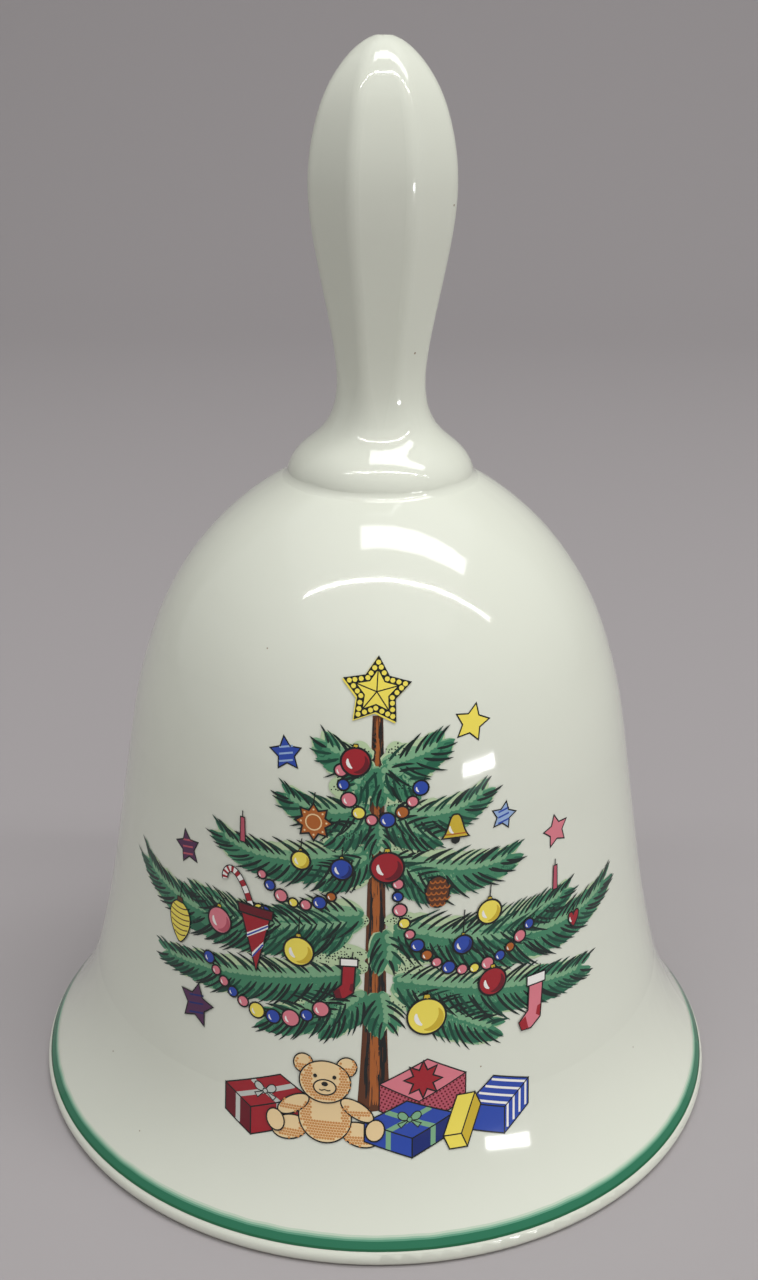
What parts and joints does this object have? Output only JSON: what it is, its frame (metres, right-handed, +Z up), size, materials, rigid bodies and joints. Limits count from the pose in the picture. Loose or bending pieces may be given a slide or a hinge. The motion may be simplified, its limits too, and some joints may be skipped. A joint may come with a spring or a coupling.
{
  "type": "table bell",
  "caption": "Flared porcelain hand bell with a faceted bulb handle, a painted fir tree on one side, a green line round the lip and a chain-hung ball clapper.",
  "frame": {"origin": "on the table plane, at the centre of the lip's foot ring", "axes": "+Z up along the bell's axis, -Y towards the painted side; the handle's flats face X and Y"},
  "size_m": [0.0972, 0.0972, 0.1395],
  "materials": {
    "glazed_porcelain": "glossy clear glaze over warm white porcelain",
    "brass_wire": "drawn wire, slightly dulled"
  },
  "bodies": {
    "bell": {"bell_shell": "glazed_porcelain", "handle": "glazed_porcelain", "clapper_lug": "glazed_porcelain"},
    "hanger_ring": {"hanger_ring": "brass_wire"},
    "chain_link_1": {"chain_link_1": "brass_wire"},
    "chain_link_2": {"chain_link_2": "brass_wire"},
    "chain_link_3": {"chain_link_3": "brass_wire"},
    "chain_link_4": {"chain_link_4": "brass_wire"},
    "chain_link_5": {"chain_link_5": "brass_wire"},
    "eye_pin": {"eye_pin": "brass_wire"},
    "clapper_ball": {"clapper_ball": "glazed_porcelain"}
  },
  "joints": [
    {"name": "ring_swing", "type": "hinge", "parent": "bell", "child": "hanger_ring", "pos_m": [0, 0, 0.0793], "axis": [1, 0, 0], "range_deg": [-28, 28]},
    {"name": "link_1_swing", "type": "hinge", "parent": "hanger_ring", "child": "chain_link_1", "pos_m": [0, 0, 0.07505], "axis": [0, 1, 0], "range_deg": [-31, 31]},
    {"name": "link_2_swing", "type": "hinge", "parent": "chain_link_1", "child": "chain_link_2", "pos_m": [0, 0, 0.0679], "axis": [-1, 0, 0], "range_deg": [-35, 35]},
    {"name": "link_3_swing", "type": "hinge", "parent": "chain_link_2", "child": "chain_link_3", "pos_m": [0, 0, 0.06075], "axis": [0, -1, 0], "range_deg": [-43, 43]},
    {"name": "link_4_swing", "type": "hinge", "parent": "chain_link_3", "child": "chain_link_4", "pos_m": [0, 0, 0.0536], "axis": [1, 0, 0], "range_deg": [-50, 50]},
    {"name": "link_5_swing", "type": "hinge", "parent": "chain_link_4", "child": "chain_link_5", "pos_m": [0, 0, 0.04645], "axis": [0, 1, 0], "range_deg": [-50, 50]},
    {"name": "eye_swing", "type": "hinge", "parent": "chain_link_5", "child": "eye_pin", "pos_m": [0, 0, 0.0393], "axis": [-1, 0, 0], "range_deg": [-50, 50]},
    {"name": "ball_spin", "type": "hinge", "parent": "eye_pin", "child": "clapper_ball", "pos_m": [0, 0, 0.02525], "axis": [0, 0, 1], "continuous": true}
  ]
}
